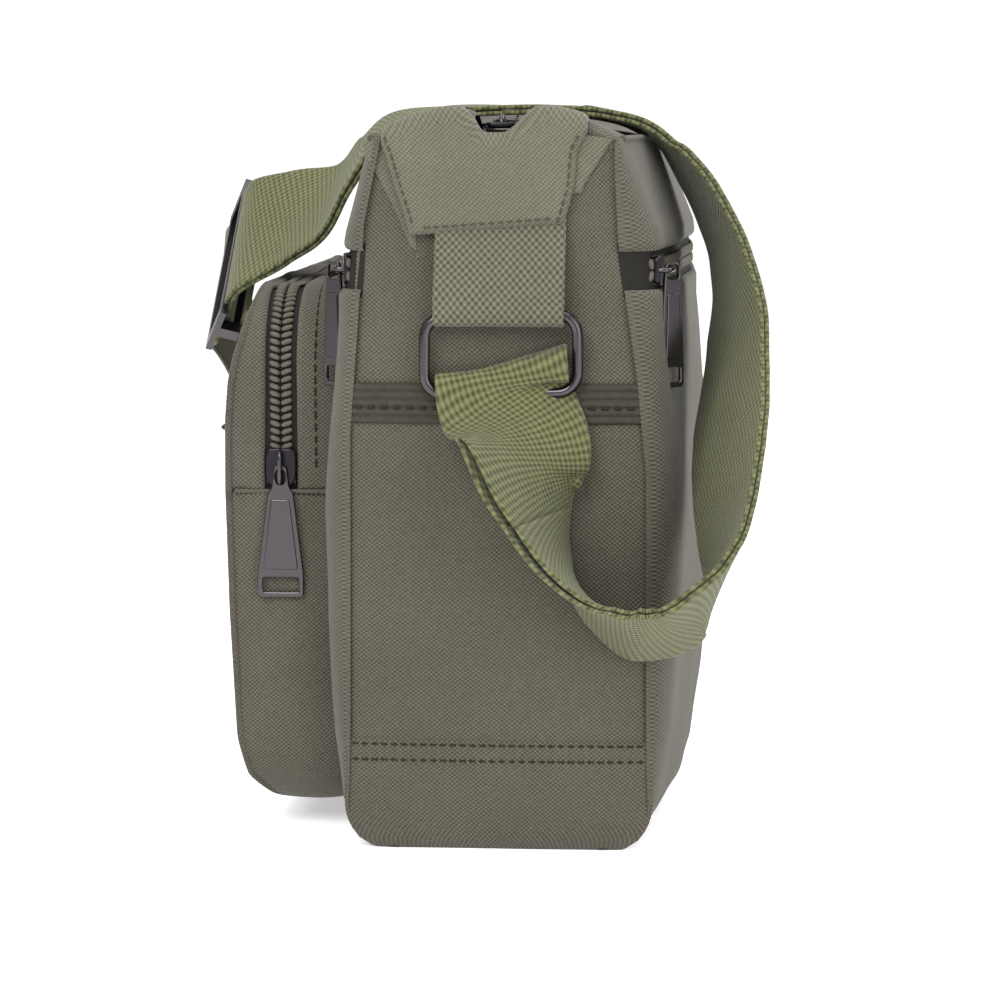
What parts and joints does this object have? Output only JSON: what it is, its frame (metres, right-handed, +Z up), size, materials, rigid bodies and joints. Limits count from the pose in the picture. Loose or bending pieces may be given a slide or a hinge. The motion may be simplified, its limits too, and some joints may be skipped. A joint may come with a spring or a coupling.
{
  "type": "messenger bag",
  "caption": "Canvas messenger bag standing upright, with a zipped top, bellows front pocket, wall slip pockets and a webbing shoulder strap.",
  "frame": {"origin": "middle of the flat base, on the surface the bag stands on", "axes": "+X along the bag's length towards the near end, the front pocket faces -Y, +Z up"},
  "size_m": [0.3337, 0.1635, 0.1958],
  "materials": {
    "canvas": "matte woven, water-repellent",
    "flap_canvas": "matte woven",
    "ribbed_band": "ribbed, matte",
    "lining": "matte lining cloth",
    "patch": "plain woven patch",
    "zipper_tape": "woven tape with a nylon coil",
    "slider_metal": "dark gunmetal plating, satin",
    "pull_metal": "dark gunmetal plating, satin",
    "ring_metal": "dark gunmetal plating, polished",
    "webbing": "twill webbing"
  },
  "bodies": {
    "bag": {"front_panel": "canvas", "back_panel": "canvas", "front_yoke": "canvas", "back_yoke": "canvas", "top_panel_front": "canvas", "top_panel_back": "canvas", "bottom_panel": "canvas", "end_gusset_near": "canvas", "end_gusset_far": "canvas", "side_pocket_near": "canvas", "side_pocket_far": "canvas", "pocket_gusset": "canvas", "pocket_arch_front": "canvas", "pocket_arch_back": "canvas", "pocket_face_lower": "canvas", "pocket_face_upper": "canvas", "end_flap_near": "flap_canvas", "end_flap_far": "flap_canvas", "side_pocket_band_near": "ribbed_band", "side_pocket_band_far": "ribbed_band", "lining_front": "lining", "lining_back": "lining", "face_pocket_lining": "lining", "label_patch": "patch", "top_zipper": "zipper_tape", "front_zipper": "zipper_tape", "back_zipper": "zipper_tape", "face_zipper": "zipper_tape", "pocket_zipper": "zipper_tape", "ring_loop_near": "webbing", "ring_loop_far": "webbing", "strap_outer_layer": "webbing", "strap_inner_layer": "webbing", "strap_far_run": "webbing", "strap_sewn_end": "webbing", "strap_adjuster": "ring_metal"},
    "front_slider_body": {"front_slider": "slider_metal"},
    "front_pull_body": {"front_pull": "pull_metal"},
    "back_slider_body": {"back_slider": "slider_metal"},
    "back_pull_body": {"back_pull": "pull_metal"},
    "face_slider_body": {"face_slider": "slider_metal"},
    "face_pull_body": {"face_pull": "pull_metal"},
    "top_slider_body": {"top_slider": "slider_metal"},
    "top_pull_body": {"top_pull": "pull_metal"},
    "pocket_slider_body": {"pocket_slider": "slider_metal"},
    "pocket_pull_body": {"pocket_pull": "pull_metal"},
    "near_ring_body": {"strap_ring_near": "ring_metal", "strap_turn_near": "webbing"},
    "far_ring_body": {"strap_ring_far": "ring_metal", "strap_turn_far": "webbing"}
  },
  "joints": [
    {"name": "front_slider_travel", "type": "hinge", "parent": "bag", "child": "front_slider_body", "pos_m": [0, 0.7834, 0.153], "axis": [0, 0, -1], "range_deg": [0, 0.32]},
    {"name": "front_pull_hinge", "type": "hinge", "parent": "front_slider_body", "child": "front_pull_body", "pos_m": [0.1128, -0.0445, 0.153], "axis": [-0.9908, -0.135, 0], "range_deg": [0, 110]},
    {"name": "back_slider_travel", "type": "hinge", "parent": "bag", "child": "back_slider_body", "pos_m": [0, -0.7834, 0.153], "axis": [0, 0, 1], "range_deg": [0, 15.3]},
    {"name": "back_pull_hinge", "type": "hinge", "parent": "back_slider_body", "child": "back_pull_body", "pos_m": [0.1128, 0.0445, 0.153], "axis": [0.9908, -0.135, 0], "range_deg": [0, 25]},
    {"name": "face_slider_travel", "type": "slide", "parent": "bag", "child": "face_slider_body", "axis": [1, 0, 0], "range_m": [-0.16, 0]},
    {"name": "face_pull_hinge", "type": "hinge", "parent": "face_slider_body", "child": "face_pull_body", "pos_m": [0.08, -0.0774, 0.108], "axis": [0, 0, 1], "range_deg": [0, 150]},
    {"name": "top_slider_travel", "type": "slide", "parent": "bag", "child": "top_slider_body", "axis": [0.9998, 0, 0.021], "range_m": [-0.205, 0]},
    {"name": "top_pull_hinge", "type": "hinge", "parent": "top_slider_body", "child": "top_pull_body", "pos_m": [0.112, 0, 0.19095], "axis": [0, 1, 0], "range_deg": [0, 150]},
    {"name": "pocket_slider_travel", "type": "slide", "parent": "bag", "child": "pocket_slider_body", "axis": [0, 0, 1], "range_m": [0, 0.02]},
    {"name": "pocket_pull_hinge", "type": "hinge", "parent": "pocket_slider_body", "child": "pocket_pull_body", "pos_m": [0.1066, -0.06, 0.0995], "axis": [0, -1, 0], "range_deg": [0, 120]},
    {"name": "near_ring_hinge", "type": "hinge", "parent": "bag", "child": "near_ring_body", "pos_m": [0.127, 0, 0.1415], "axis": [0, -1, 0], "range_deg": [0, 60]},
    {"name": "far_ring_hinge", "type": "hinge", "parent": "bag", "child": "far_ring_body", "pos_m": [-0.127, 0, 0.1415], "axis": [0, 1, 0], "range_deg": [0, 60]}
  ]
}
